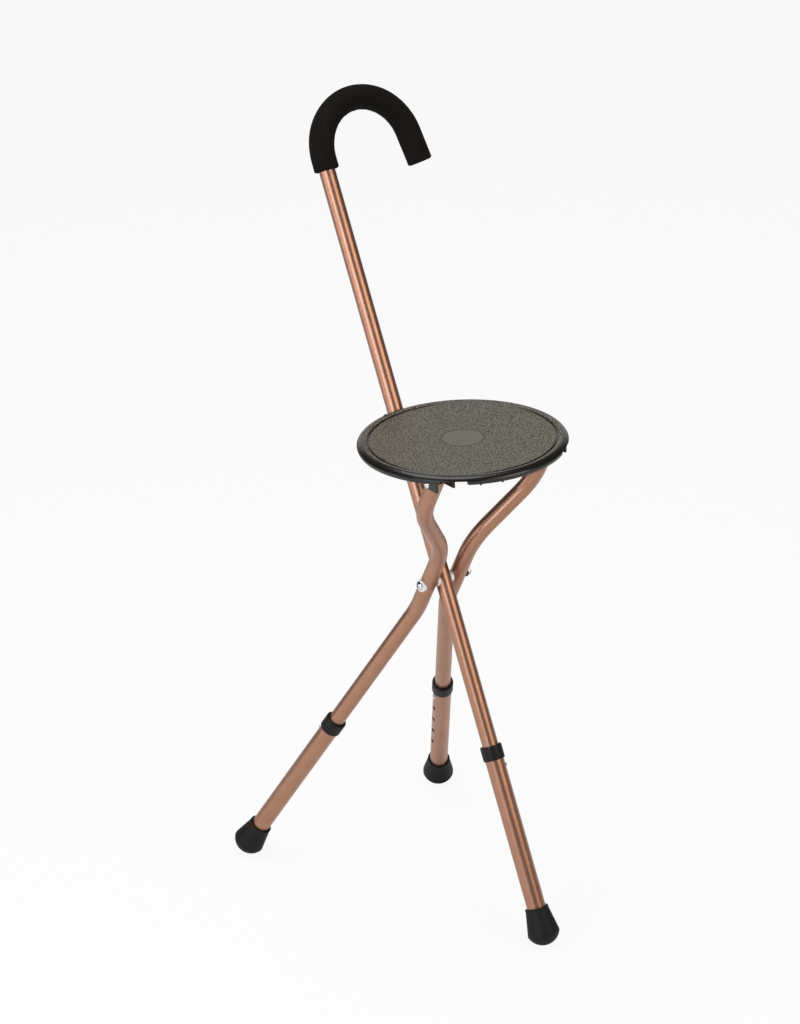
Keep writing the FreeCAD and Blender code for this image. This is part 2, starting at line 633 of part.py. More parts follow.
ribbed = fused("seat_ribbed", [top_disc] + ribs + bosses)
opened = cut("seat_opened", ribbed, channels + boss_holes)
joined = fused("seat_joined", [opened] + cheeks)
keep("seat_shell", cut("seat_shell_cut", joined, pin_ways, seat_frame))
cap_place = seat_frame * Place(Vec(0, 0, -size("cap_thick")), Turn())
keep("seat_cap", rod("seat_cap_disc", "cap_radius", "cap_thick", cap_place))

# The hook: a plate under the seat whose two arms straddle the stick and drop on the stop pin
plate_low = deep - size("hook_plate")
arm_in = size("tube_radius") + size("hook_gap")
arm_out = arm_in + size("hook_thick")
stop_x, stop_z = stop_point.x - seat_middle, stop_point.z - seat_top
arm_back = stop_x - size("hook_tail")
pieces = [block("hook_plate_block", (size("hook_plate_back"), -size("hook_plate_half"), plate_low),
                (size("hook_plate_front"), size("hook_plate_half"), deep))]
for i, way in enumerate((-1, 1)):
    side_y = sorted((way * arm_in, way * arm_out))
    low_z = stop_z - size("hook_below")
    root_x = size("hook_plate_front") - size("hook_arm_root")
    arm = [Vec(root_x, side_y[0], plate_low + 0.5), Vec(root_x, side_y[0], plate_low - 1),
           Vec(stop_x + size("hook_tail"), side_y[0], low_z), Vec(arm_back + 2, side_y[0], low_z),
           Vec(arm_back, side_y[0], low_z + 3), Vec(arm_back, side_y[0], plate_low + 0.2),
           Vec(arm_back + 2, side_y[0], deep - 0.6), Vec(size("hook_plate_back") + 1, side_y[0], deep - 0.6),
           Vec(size("hook_plate_back") + 1, side_y[0], plate_low + 0.5)]
    wall = Part.Face(Part.makePolygon(arm + arm[:1])).extrude(Vec(0, side_y[1] - side_y[0], 0))
    thing = doc.addObject("Part::Feature", "hook_arm_%d" % i)
    thing.Shape = wall
    pieces.append(thing)
slot = size("stop_pin_radius") + size("hook_slot_gap")
slot_frame = Place(Vec(stop_x, 0, stop_z), shaft_frame.Rotation)
slot_round = rod("hook_slot_round", "stop_pin_radius", 2 * arm_out + 2, slot_frame * along_y(0, -arm_out - 1, 0))
slot_round.setExpression("Radius", "sizes.stop_pin_radius + sizes.hook_slot_gap")
slot_box = block("hook_slot_box", (-slot, -arm_out - 1, -4 * slot), (slot, arm_out + 1, 0), slot_frame)
hook_ways = [rod("hook_screw_way_%d" % i, "screw_radius", 2 * size("hook_plate"),
                 Place(Vec(screw_x, way * size("screw_side"), plate_low - 1), Turn()))
             for i, way in enumerate((-1, 1))]
keep("seat_hook", cut("seat_hook_cut", fused("hook_whole", pieces), [slot_round, slot_box] + hook_ways,
                      seat_frame))

for i, way in enumerate((-1, 1)):
    spot = Vec(screw_x, way * size("screw_side"), plate_low)
    stem = rod("screw_stem_%d" % i, "screw_radius", "screw_length", Place(spot, Turn()))
    head = turned("screw_head_%d" % i, (
        (0, 0), ("screw_head_radius", 0), (0, "screw_head_height", "screw_dome", 1)),
        Place(spot, Turn(Vec(1, 0, 0), 180)))
    screws.append(fused("screw_%d" % i, [stem, head]))
screw_pair = doc.addObject("Part::Compound", "screw_pair")
screw_pair.Links = screws
screw_pair.Placement = seat_frame
keep("hook_screws", screw_pair)

doc.recompute()
for thing in doc.Objects:
    if "Invalid" in thing.State or "Error" in thing.State:
        raise RuntimeError("%s did not rebuild: %s" % (thing.Name, thing.State))
for name, thing in NODES.items():
    shape = thing.Shape
    if shape.isNull() or not shape.isValid() or not shape.Solids:
        raise RuntimeError("%s has no valid solid" % name)
    if abs(shape.Volume) < 1:
        raise RuntimeError("%s is empty" % name)

os.makedirs("parts", exist_ok=True)
for name, thing in NODES.items():
    thing.Shape.exportStep("parts/%s.step" % name)
    box = thing.Shape.BoundBox
    print("%-16s solids %d volume %.1f  x %.1f..%.1f y %.1f..%.1f z %.1f..%.1f" % (
        name, len(thing.Shape.Solids), thing.Shape.Volume, box.XMin, box.XMax, box.YMin, box.YMax,
        box.ZMin, box.ZMax))
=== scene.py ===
import math

import bmesh
import bpy
import numpy as np
from mathutils import Matrix, Vector


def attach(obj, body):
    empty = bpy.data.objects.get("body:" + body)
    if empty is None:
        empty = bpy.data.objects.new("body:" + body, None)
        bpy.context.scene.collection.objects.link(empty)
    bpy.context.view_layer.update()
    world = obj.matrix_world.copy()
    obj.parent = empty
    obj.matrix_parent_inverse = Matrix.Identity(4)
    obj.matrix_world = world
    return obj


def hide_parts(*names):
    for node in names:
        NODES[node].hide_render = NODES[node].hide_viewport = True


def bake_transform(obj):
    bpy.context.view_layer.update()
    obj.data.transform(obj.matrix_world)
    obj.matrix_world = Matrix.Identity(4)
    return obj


# Looks of the walking stick seat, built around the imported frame. Metres and radians, in the
# frame of the part: Z up, the stick's foot at the origin, the crook turned towards +Y.

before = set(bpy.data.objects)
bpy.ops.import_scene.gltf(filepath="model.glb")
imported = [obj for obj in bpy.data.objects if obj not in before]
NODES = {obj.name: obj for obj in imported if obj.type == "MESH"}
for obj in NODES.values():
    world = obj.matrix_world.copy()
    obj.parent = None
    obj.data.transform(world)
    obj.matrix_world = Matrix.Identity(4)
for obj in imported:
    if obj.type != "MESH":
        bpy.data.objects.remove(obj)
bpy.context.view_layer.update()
MM = 0.001
FULL_TURN = 2 * math.pi

# Sizes that the part's source also uses. Lean of the stick and of the legs from upright
SHAFT_LEAN, LEG_LEAN = math.radians(24.1), math.radians(30.45)
# Tubes and bends, measured along the stick or leg from the foot or the pivot
TUBE_R, BORE_R, SLEEVE_R = 9.525 * MM, 8.325 * MM, 11.105 * MM
PIVOT_UP = 422.5 * MM
FOOT_SIDE, LEG_OFFSET = 141.7 * MM, 21.2 * MM
LOW_BEND, MID_BEND, TOP_BEND = 45.8 * MM, 62.0 * MM, 147.2 * MM
LOW_BEND_R, MID_BEND_R, TOP_BEND_R = 86.0 * MM, 92.0 * MM, 76.0 * MM
PIN_UP, PIN_SIDE, LEG_END_R = 203.4 * MM, 77.5 * MM, 10.2 * MM
# Crook and its foam grip
GRIP_START, CROOK_START, CROOK_R = 908.7 * MM, 921.6 * MM, 60.8 * MM
CROOK_TURN, CROOK_TAIL, GRIP_OVERHANG = math.radians(172.4), 36.6 * MM, 1.5 * MM
GRIP_R = 14.7 * MM
# Rubber foot, from the centre of its dome
DOME_R, FOOT_FLAT, EDGE_DROP = 20.0 * MM, 0.6 * MM, 6.3 * MM
LIP_R, FERRULE_TOP, FERRULE_LIP = 13.8 * MM, 25.5 * MM, 3.0 * MM
FOOT_HEIGHT = DOME_R - FOOT_FLAT
# Collar on the sleeve's top, snap button below it and end of the inner tube below that
SLEEVE_START, SLEEVE_LENGTH, COLLAR_GAP = 3.2 * MM, 214.1 * MM, 0.4 * MM
COLLAR_LENGTH, COLLAR_LIP, COLLAR_R = 17.0 * MM, 3.6 * MM, 12.8 * MM
COLLAR_FOOT = SLEEVE_START + SLEEVE_LENGTH + COLLAR_GAP - COLLAR_LENGTH + COLLAR_LIP
BUTTON_DROP, TUBE_DROP = 10.0 * MM, 25.0 * MM
BUTTON_UP = COLLAR_FOOT - BUTTON_DROP
TUBE_END = BUTTON_UP - TUBE_DROP
BUTTON_ROOT, BUTTON_REACH = 7.955 * MM, 13.505 * MM
BUTTON_R, BUTTON_CROWN = 3.0 * MM, 1.2 * MM
CLIP_THICK, CLIP_WIDTH, CLIP_GAP = 0.8 * MM, 5.0 * MM, 0.42 * MM
CLIP_ABOVE, CLIP_BELOW = 7.0 * MM, 20.0 * MM
# Seat, with its pin's place from the seat's centre and top
SEAT_R, RIM_BAND, CAP_R = 119.0 * MM, 12.6 * MM, 23.5 * MM
PIN_FORWARD, PIN_DEPTH = 54.6 * MM, 14.8 * MM
# Pivot bolt and what it holds
BOLT_R, HEAD_R, HEAD_H, SADDLE = 3.0 * MM, 5.6 * MM, 3.4 * MM, 1.8 * MM
GAP, WASHER, NUT, THREAD = 0.3 * MM, 1.3 * MM, 4.6 * MM, 1.4 * MM


# Places

def turn_about(axis, angle):
    """4x4 turn about X, Y or Z."""
    return np.array(Matrix.Rotation(angle, 4, axis))


def shift(x, y, z):
    """4x4 move."""
    return np.array(Matrix.Translation((x, y, z)))


def point(place, x, y, z):
    """A point of a place, in the frame of the part."""
    return (place @ [x, y, z, 1])[:3]


STICK = shift(0, 0, FOOT_HEIGHT) @ turn_about("Y", -SHAFT_LEAN)
BOLT = point(STICK, 0, 0, PIVOT_UP)
LEGS = shift(*BOLT) @ turn_about("Y", LEG_LEAN)
LEG_REACH = PIVOT_UP * math.cos(SHAFT_LEAN) / math.cos(LEG_LEAN)
SPLAY = math.atan2(FOOT_SIDE - LEG_OFFSET, LEG_REACH - LOW_BEND)
PIN = point(LEGS, 0, 0, PIN_UP)
SEAT = shift(PIN[0] - PIN_FORWARD, 0, PIN[2] + PIN_DEPTH)
SIDES = {"leg_a": -1, "leg_b": 1}
FEET = {"shaft": STICK}
for leg, side in SIDES.items():
    FEET[leg] = LEGS @ shift(0, side * FOOT_SIDE, -LEG_REACH) @ turn_about("X", side * SPLAY)
BUTTON_TURN = {"shaft": math.pi / 2, "leg_a": math.pi, "leg_b": -math.pi / 2}


# Lines in two dimensions

def arc_corner(before, corner, after, radius, steps):
    """Points of the circle of that radius that touches both runs at a corner."""
    back, ahead = before - corner, after - corner
    back, ahead = back / np.linalg.norm(back), ahead / np.linalg.norm(ahead)
    half = math.acos(np.clip(-back @ ahead, -1, 1)) / 2
    bisector = (back + ahead) / np.linalg.norm(back + ahead)
    centre = corner + bisector * radius / math.cos(half)
    start = corner + back * radius * math.tan(half) - centre
    side = np.sign(back[1] * ahead[0] - back[0] * ahead[1])
    t = np.linspace(0, 2 * half, steps) * side
    return centre + np.stack([start[0] * np.cos(t) - start[1] * np.sin(t),
                              start[0] * np.sin(t) + start[1] * np.cos(t)], 1)


def rounded(points, radii, steps=6):
    """Outline whose inner corners become arcs."""
    points = [np.array(p, float) for p in points]
    arcs = [arc_corner(*run, radius, steps)
            for *run, radius in zip(points, points[1:], points[2:], radii)]
    return np.concatenate([points[:1], *arcs, points[-1:]])


def distances(line):
    """Distance along a line to each of its points."""
    return np.concatenate([[0], np.cumsum(np.linalg.norm(np.diff(line, axis=0), axis=1))])


def densified(line, step):
    """The same outline with no run longer than step."""
    at, gaps = distances(line), np.linalg.norm(np.diff(line, axis=0), axis=1)
    counts = np.maximum(1, np.ceil(gaps / step)).astype(int)
    runs = [np.linspace(a, b, n, endpoint=False) for a, b, n in zip(at, at[1:], counts)]
    t = np.concatenate(runs + [at[-1:]])
    return np.stack([np.interp(t, at, line[:, k]) for k in range(2)], 1)


def normals(line):
    """Unit vectors square to a line, at each of its points."""
    slope = np.gradient(line, axis=0)
    slope /= np.linalg.norm(slope, axis=1)[:, None]
    return np.stack([slope[:, 1], -slope[:, 0]], 1)


# Surfaces

def angles(sides):
    """Even steps round a circle."""
    return np.arange(sides) * FULL_TURN / sides


def swept(line, normal, across, out):
    """Section carried along a line (y, z): x = across, the rest = line + normal times out."""
    y, z = (line[:, k, None] + normal[:, k, None] * out for k in range(2))
    return np.stack([across + 0 * y, y, z], 2)


def moved(grid, place):
    """Grid in the frame of the part, from the frame of a place."""
    return grid @ place[:3, :3].T + place[:3, 3]


def mesh_from_grid(name, grid, around, along, girth):
    """Closes a grid of rings round its second direction. A ring that has shrunk to a point
    becomes a pole. UV is (distance round, distance along) in metres, from the share of a turn
    of each column, the distance along of each ring and the girth."""
    rings, sides = grid.shape[:2]
    index = np.arange(rings * sides).reshape(rings, sides)
    beside = np.roll(index, -1, 1)
    faces = np.stack([index[:-1], beside[:-1], beside[1:], index[1:]], 2).reshape(-1, 4)
    u0 = np.broadcast_to(around, (rings, sides))
    u1 = np.concatenate([u0[:, 1:], u0[:, :1] + 1], 1)
    v = np.broadcast_to(along[:, None], (rings, sides))
    uv = np.stack([np.stack([u0[:-1], u1[:-1], u1[1:], u0[1:]], 2) * girth,
                   np.stack([v[:-1], v[:-1], v[1:], v[1:]], 2)], 3).reshape(-1, 2)
    mesh = bpy.data.meshes.new(name)
    mesh.vertices.add(rings * sides)
    mesh.vertices.foreach_set("co", grid.reshape(-1).astype(np.float32))
    mesh.loops.add(faces.size)
    mesh.loops.foreach_set("vertex_index", faces.reshape(-1).astype(np.int32))
    mesh.polygons.add(len(faces))
    mesh.polygons.foreach_set("loop_start", np.arange(0, faces.size, 4, dtype=np.int32))
    mesh.update(calc_edges=True)
    mesh.uv_layers.new(name="surface")
    mesh.uv_layers["surface"].data.foreach_set("uv", uv.reshape(-1).astype(np.float32))
    return mesh


def finished(mesh, crease=35, merge=1e-7):
    """Closes seams and poles, points faces outwards and smooths all but sharp edges."""
    work = bmesh.new()
    work.from_mesh(mesh)
    bmesh.ops.remove_doubles(work, verts=work.verts, dist=merge)
    bmesh.ops.dissolve_degenerate(work, edges=work.edges, dist=merge)
    bmesh.ops.recalc_face_normals(work, faces=work.faces)
    sharp = math.radians(crease)
    for edge in work.edges:
        edge.smooth = len(edge.link_faces) != 2 or edge.calc_face_angle(0) < sharp
    work.to_mesh(mesh)
    work.free()
    mesh.polygons.foreach_set("use_smooth", np.ones(len(mesh.polygons), bool))
    return mesh


def placed(name, data):
    """Object of that mesh, lamp or camera, in the scene."""
    thing = bpy.data.objects.new(name, data)
    bpy.context.scene.collection.objects.link(thing)
    return thing


def piece(name, mesh, body, finish, slot, node):
    """Object of that mesh in place of a CAD node, riding on a body unless that is None."""
    thing = placed(name, mesh)
    mesh.materials.append(finish)
    if body:
        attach(thing, body)
    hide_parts(node)
    return thing


def turned_piece(name, profile, place, *dressing, turns=120, lowest=-1.0):
    """Profile (radius, height) turned about Z and set in its place: x = r cos u, y = r sin u,
    z = height. Its z is kept at or above lowest."""
    u, (r, h) = angles(turns), profile.T[:, :, None]
    grid = moved(np.stack([r * np.cos(u), r * np.sin(u), h + 0 * u], 2), place)
    grid[:, :, 2] = np.maximum(grid[:, :, 2], lowest)
    girth = FULL_TURN * np.max(profile[:, 0])
    mesh = mesh_from_grid(name, grid, u / FULL_TURN, distances(profile), girth)
    return piece(name, finished(mesh), *dressing)


# Materials. A pattern of scale s on Object coordinates or the UV map, which are in metres,
# has features of 1000 / s millimetres.

def linear(code, alpha=1.0):
    """sRGB hex colour as linear values."""
    rgb = [int(code[i:i + 2], 16) / 255 for i in (1, 3, 5)]
    return [c / 12.92 if c <= 0.04045 else ((c + 0.055) / 1.055) ** 2.4 for c in rgb] + [alpha]


def material(name):
    """New material, its node tree and its shader."""
    made = bpy.data.materials.new(name)
    made.use_nodes = True
    tree = made.node_tree
    return made, tree, tree.nodes["Principled BSDF"]


def wire(tree, node, links=(), values=()):
    """Links as (socket of this node, node to read, socket to read), values as (socket, value).
    A value that starts with # is a colour."""
    for socket, source, output in links:
        tree.links.new(source.outputs[output], node.inputs[socket])
    for socket, value in values:
        colour = isinstance(value, str)
        node.inputs[socket].default_value = linear(value) if colour else value
    return node


def add(tree, kind, links=(), values=(), stops=(), **settings):
    """Node of that kind with its properties, links and values. Stops are a colour ramp's,
    as (position, hex colour)."""
    node = tree.nodes.new(kind)
    for key, value in settings.items():
        setattr(node, key, value)
    for (at, code), element in zip(stops, node.color_ramp.elements if stops else ()):
        element.position, element.color = at, linear(code)
    return wire(tree, node, links, values)


def anodised_aluminium(name, axis_turn=None):
    """Drawn aluminium tube, satin etched, dyed bronze and sealed: the dyed metal gives broad
    warm reflections and the clear oxide skin a paler gloss over them. The drawing die left
    faint lines along the tube. Real ones are too fine to show, so they are drawn 0.8 to 1 mm
    apart. The dye is slightly cloudy, in patches of about 22 mm. Lines follow the UV map, or
    Object coordinates turned so that the tube lies along Z."""
    made, tree, shader = material(name)
    where = add(tree, "ShaderNodeTexCoord")
    if axis_turn is None:
        lines_at = add(tree, "ShaderNodeMapping", [("Vector", where, "UV")],
                       [("Scale", (1300, 1.5, 1))])
    else:
        turned = add(tree, "ShaderNodeMapping", [("Vector", where, "Object")],
                     [("Rotation", axis_turn)])
        lines_at = add(tree, "ShaderNodeMapping", [("Vector", turned, "Vector")],
                       [("Scale", (1000, 1000, 1.5))])
    lines = add(tree, "ShaderNodeTexNoise", [("Vector", lines_at, "Vector")],
                [("Scale", 1.0), ("Detail", 3.0)])
    cloud = add(tree, "ShaderNodeTexNoise", [("Vector", where, "Object")],
                [("Scale", 45.0), ("Detail", 4.0)])
    dye = add(tree, "ShaderNodeValToRGB", [("Fac", cloud, "Fac")],
              stops=[(0.3, "#AF8066"), (0.7, "#B6886D")])
    streak = add(tree, "ShaderNodeMix", [("Factor", lines, "Fac"), ("A", dye, "Color")],
                 [("B", "#F5F0EC")], data_type="RGBA", blend_type="MULTIPLY")
    rough = add(tree, "ShaderNodeMapRange", [("Value", lines, "Fac")],
                [("To Min", 0.34), ("To Max", 0.38)])
    bump = add(tree, "ShaderNodeBump", [("Height", lines, "Fac")],
               [("Strength", 0.012), ("Distance", 0.02 * MM)])
    wire(tree, shader,
         [("Base Color", streak, "Result"), ("Roughness", rough, "Result"),
          ("Normal", bump, "Normal")],
         [("Metallic", 0.95), ("Coat Weight", 0.5), ("Coat Roughness", 0.35)])
    return made


def closed_cell_foam():
    """Black nitrile foam, extruded and skinned: matt, with pores, and with a very soft
    unevenness of about 11 mm where it was pulled round the bend. The pores are drawn at about
    0.7 mm, coarser than real ones, so that they show."""
    made, tree, shader = material("closed_cell_foam")
    where = add(tree, "ShaderNodeTexCoord")
    pores = add(tree, "ShaderNodeTexVoronoi", [("Vector", where, "Object")], [("Scale", 1400.0)])
    soft = add(tree, "ShaderNodeTexNoise", [("Vector", where, "Object")],
               [("Scale", 90.0), ("Detail", 3.0)])
    tone = add(tree, "ShaderNodeValToRGB", [("Fac", soft, "Fac")],
               stops=[(0.3, "#0C0A07"), (0.75, "#120F0B")])
    bump = add(tree, "ShaderNodeBump", [("Height", pores, "Distance")],
               [("Strength", 0.35), ("Distance", 0.2 * MM)])
    top = add(tree, "ShaderNodeBump", [("Height", soft, "Fac"), ("Normal", bump, "Normal")],
              [("Strength", 0.15), ("Distance", 0.8 * MM)])
    wire(tree, shader, [("Base Color", tone, "Color"), ("Normal", top, "Normal")],
         [("Roughness", 0.9), ("Specular IOR Level", 0.15)])
    return made


def moulded(name, dark, light, roughness, grain_mm, strength, gloss=0.5):
    """Moulded rubber or plastic: an even colour with slight clouding of about 17 mm, a fine
    spark-eroded surface from the mould and a gloss that wanders a little. The grain is drawn
    coarser than a real one, so that it shows."""
    made, tree, shader = material(name)
    where = add(tree, "ShaderNodeTexCoord")
    soft = add(tree, "ShaderNodeTexNoise", [("Vector", where, "Object")],
               [("Scale", 60.0), ("Detail", 4.0)])
    fine = add(tree, "ShaderNodeTexNoise", [("Vector", where, "Object")],
               [("Scale", 1000.0 / grain_mm), ("Detail", 2.0)])
    tone = add(tree, "ShaderNodeValToRGB", [("Fac", soft, "Fac")],
               stops=[(0.3, dark), (0.7, light)])
    rough = add(tree, "ShaderNodeMapRange", [("Value", soft, "Fac")],
                [("To Min", roughness - 0.05), ("To Max", roughness + 0.06)])
    bump = add(tree, "ShaderNodeBump", [("Height", fine, "Fac")],
               [("Strength", strength), ("Distance", 0.08 * MM)])
    wire(tree, shader,
         [("Base Color", tone, "Color"), ("Roughness", rough, "Result"),
          ("Normal", bump, "Normal")],
         [("Specular IOR Level", gloss)])
    return made


def plated_steel(name, colour, roughness):
    """Nickel and chrome or zinc on steel: mirror to satin, with faint polishing marks, drawn
    at about 1.4 mm, coarser than real ones, so that they show."""
    made, tree, shader = material(name)
    where = add(tree, "ShaderNodeTexCoord")
    marks = add(tree, "ShaderNodeTexNoise", [("Vector", where, "Object")],
                [("Scale", 700.0), ("Detail", 3.0)])
    rough = add(tree, "ShaderNodeMapRange", [("Value", marks, "Fac")],
                [("To Min", roughness * 0.7), ("To Max", roughness * 1.4)])
    wire(tree, shader, [("Roughness", rough, "Result")],
         [("Base Color", colour), ("Metallic", 1.0)])
    return made


def pebbled_abs(field=SEAT_R - 7.2 * MM, slit_shadow=2.5 * MM, groove_shade_half=1.5 * MM, roll=0.4 * MM):
    """Injection-moulded ABS: the top has a leather-like pebble of about 2.5 mm cells between
    fine valleys, its hills painted pale grey as the top's sheen, and the groove, the slit
    round the cap and the rim are smooth and glossy.
    The slit is finer than the render shows, so its dark ring, a painted shadow of the slit, is
    drawn wider, and the groove's line is painted dark as the shade in it. The pebble, with its
    painted sheen, ends at the field's radius, a little past the groove, where the sheen paints a
    highlight band, and at roll below the top. Over all of it lie a skin grain of 0.4 mm and
    clouds of about 70 mm."""
    made, tree, shader = material("pebbled_abs")
    where = add(tree, "ShaderNodeTexCoord")
    centred = add(tree, "ShaderNodeMapping", [("Vector", where, "Object")],
                  [("Location", (-SEAT[0, 3], 0, -SEAT[2, 3]))])
    split = add(tree, "ShaderNodeSeparateXYZ", [("Vector", centred, "Vector")])
    flat = add(tree, "ShaderNodeCombineXYZ", [("X", split, "X"), ("Y", split, "Y")])
    radius = add(tree, "ShaderNodeVectorMath", [(0, flat, "Vector")], operation="LENGTH")

    # 1 on the pebbled field, painted pale as sheen; 0 on the rim, groove, slit and underside
    inside = add(tree, "ShaderNodeMath", [(0, radius, "Value")], [(1, field)],
                 operation="LESS_THAN")
    # Dark ring round the cap, 2.5 mm wide: the slit's painted shadow.
    outside = add(tree, "ShaderNodeMath", [(0, radius, "Value")], [(1, CAP_R + slit_shadow)],
                  operation="GREATER_THAN")
    # Dark ring along the groove: painted shade in the groove.
    groove_shade = add(tree, "ShaderNodeMath", [(0, radius, "Value")],
                 [(1, SEAT_R - RIM_BAND), (2, groove_shade_half)], operation="COMPARE")
    land = add(tree, "ShaderNodeMath", [(1, groove_shade, "Value")], [(0, 1.0)], operation="SUBTRACT")
    above = add(tree, "ShaderNodeMath", [(0, split, "Z")], [(1, -roll)],
                operation="GREATER_THAN")
    ring = add(tree, "ShaderNodeMath", [(0, inside, "Value"), (1, outside, "Value")],
               operation="MULTIPLY")
    upper = add(tree, "ShaderNodeMath", [(0, land, "Value"), (1, above, "Value")],
                operation="MULTIPLY")
    top = add(tree, "ShaderNodeMath", [(0, ring, "Value"), (1, upper, "Value")],
              operation="MULTIPLY")

    # Cells pushed about by noise of about 4 mm, so that they aren't as even as a honeycomb
    jitter = add(tree, "ShaderNodeTexNoise", [("Vector", centred, "Vector")],
                 [("Scale", 260.0), ("Detail", 2.0)])
    bent = add(tree, "ShaderNodeVectorMath", [(0, jitter, "Color")], [("Scale", 1.8 * MM)],
               operation="SCALE")
    warped = add(tree, "ShaderNodeVectorMath", [(0, centred, "Vector"), (1, bent, "Vector")],
                 operation="ADD")
    cells = add(tree, "ShaderNodeTexVoronoi", [("Vector", warped, "Vector")],
                [("Scale", 400.0)], feature="DISTANCE_TO_EDGE")
    hills = add(tree, "ShaderNodeMapRange", [("Value", cells, "Distance")],
                [("From Max", 0.3)], interpolation_type="SMOOTHSTEP")
    height = add(tree, "ShaderNodeMath", [(0, hills, "Result"), (1, top, "Value")],
                 operation="MULTIPLY")
    bump = add(tree, "ShaderNodeBump", [("Height", height, "Value")],
               [("Strength", 0.9), ("Distance", 0.28 * MM)])
    fine = add(tree, "ShaderNodeTexNoise", [("Vector", where, "Object")],
               [("Scale", 2400.0), ("Detail", 2.0)])
    skin = add(tree, "ShaderNodeBump", [("Height", fine, "Fac"), ("Normal", bump, "Normal")],
               [("Strength", 0.06), ("Distance", 0.05 * MM)])

    cloud = add(tree, "ShaderNodeTexNoise", [("Vector", where, "Object")],
                [("Scale", 14.0), ("Detail", 4.0)])
    smooth = add(tree, "ShaderNodeValToRGB", [("Fac", cloud, "Fac")],
                 stops=[(0.3, "#100E0B"), (0.7, "#15130F")])
    # Pebble colour: dark valleys, and hills painted pale grey as the top's sheen.
    pebble_and_painted_sheen = add(tree, "ShaderNodeValToRGB", [("Fac", hills, "Result")],
                  stops=[(0.0, "#221F18"), (1.0, "#766F5B")])
    tone = add(tree, "ShaderNodeMix",
               [("Factor", top, "Value"), ("A", smooth, "Color"), ("B", pebble_and_painted_sheen, "Color")],
               data_type="RGBA")
    rough = add(tree, "ShaderNodeMapRange", [("Value", top, "Value")],
                [("To Min", 0.26), ("To Max", 0.5)])
    wire(tree, shader, [("Base Color", tone, "Result"), ("Roughness", rough, "Result"),
                        ("Normal", skin, "Normal")])
    return made


BRONZE = anodised_aluminium("anodised_aluminium_tube")
FOAM = closed_cell_foam()
RUBBER = moulded("natural_rubber", "#0C0C0B", "#121211", 0.55, 0.35, 0.2, 0.25)
BLACK_NYLON = moulded("black_nylon", "#0F0E0D", "#151412", 0.45, 0.5, 0.12, 0.25)
WHITE_NYLON = moulded("white_nylon", "#E4E3DE", "#EDECE8", 0.36, 0.6, 0.08)
CHROME = plated_steel("chrome_plated_steel", "#D9DADC", 0.10)
ZINC = plated_steel("zinc_plated_steel", "#C6C8CA", 0.34)
SEAT_ABS = pebbled_abs()
# The cap's grey is painted sheen, the same grey as the top's painted sheen.
CAP_PAINTED_SHEEN_ABS = moulded("satin_abs_painted_sheen", "#555042", "#5C5747", 0.45, 0.5, 0.1)
PLAIN_ABS = moulded("black_abs", "#12110F", "#1A1815", 0.40, 0.5, 0.12, 0.3)


def dress(nodes, finish):
    """Gives CAD nodes that material."""
    for name in nodes:
        materials = NODES[name].data.materials
        materials.clear()
        materials.append(finish)


# The stick and the two legs: one drawn tube each

def tube_mesh(name, line, place, lip=0.3 * MM, start_depth=6 * MM, end_depth=4 * MM, sides=80,
              end_cut=None):
    """Outer wall, lips and a little of the bore of a tube along a line: circles of radius r
    square to it, x = r cos u and r sin u along its normal. At either end the radius steps
    in over the lip and turns into the bore."""
    inwards = np.array([start_depth, 0, 0, lip]), np.array([lip, 0, 0, end_depth])
    starts, ends = line[1] - line[0], line[-2] - line[-1]
    starts, ends = (run / np.linalg.norm(run) for run in (starts, ends))
    whole = np.concatenate([line[0] + starts * inwards[0][:, None], line[1:-1],
                            line[-1] + ends * inwards[1][:, None]])
    mouth = np.array([BORE_R, BORE_R, TUBE_R - lip, TUBE_R])
    radius = np.concatenate([mouth, np.full(len(line) - 2, TUBE_R), mouth[::-1]])[:, None]
    rows = np.r_[[0] * 4, 1:len(line) - 1, [-1] * 4]
    u = angles(sides)
    grid = swept(whole, normals(line)[rows], radius * np.cos(u), radius * np.sin(u))
    if end_cut:
        grid = end_cut(grid)
    girth = FULL_TURN * TUBE_R
    return finished(mesh_from_grid(name, moved(grid, place), u / FULL_TURN,
                                   distances(line[rows]), girth))


def round_end(grid):
    """Rounds a leg's top about the seat pin: z is kept under the circle of the end."""
    roof = PIN_UP + np.sqrt(np.maximum(LEG_END_R ** 2 - grid[:, :, 0] ** 2, 0))
    share = (grid[:, :, 2] - PIN_UP) / LEG_END_R
    grid[:, :, 2] = np.where(share > 0, PIN_UP + share * (roof - PIN_UP), grid[:, :, 2])
    return grid


def crook_line(start, tail, step=20 * MM):
    """Straight up the stick, a circle a little short of half towards +Y and a short tail
    down, as (y, z)."""
    a = np.linspace(0, CROOK_TURN, 120)
    bow = np.stack([CROOK_R * (1 - np.cos(a)), CROOK_START + CROOK_R * np.sin(a)], 1)
    tip = bow[-1] + np.array([math.sin(CROOK_TURN), math.cos(CROOK_TURN)]) * tail
    return densified(np.concatenate([[[0, start]], bow, [tip]]), step)


piece("stick_tube", tube_mesh("stick_tube", crook_line(TUBE_END, CROOK_TAIL), STICK),
      "shaft", BRONZE, "bronze", "shaft_tube")

for leg, side in SIDES.items():
    low = point(np.linalg.inv(LEGS) @ FEET[leg], 0, 0, TUBE_END)[1:]
    corners = [low, (side * LEG_OFFSET, -LOW_BEND), (side * LEG_OFFSET, MID_BEND),
               (side * PIN_SIDE, TOP_BEND), (side * PIN_SIDE, PIN_UP + LEG_END_R)]
    bends = rounded(corners, [LOW_BEND_R, MID_BEND_R, TOP_BEND_R], 40)
    tube = tube_mesh(leg + "_bent_tube", densified(bends, 20 * MM), LEGS, end_cut=round_end)
    piece(leg + "_bent_tube", tube, leg, BRONZE, "bronze", leg + "_tube")


# Foam grip

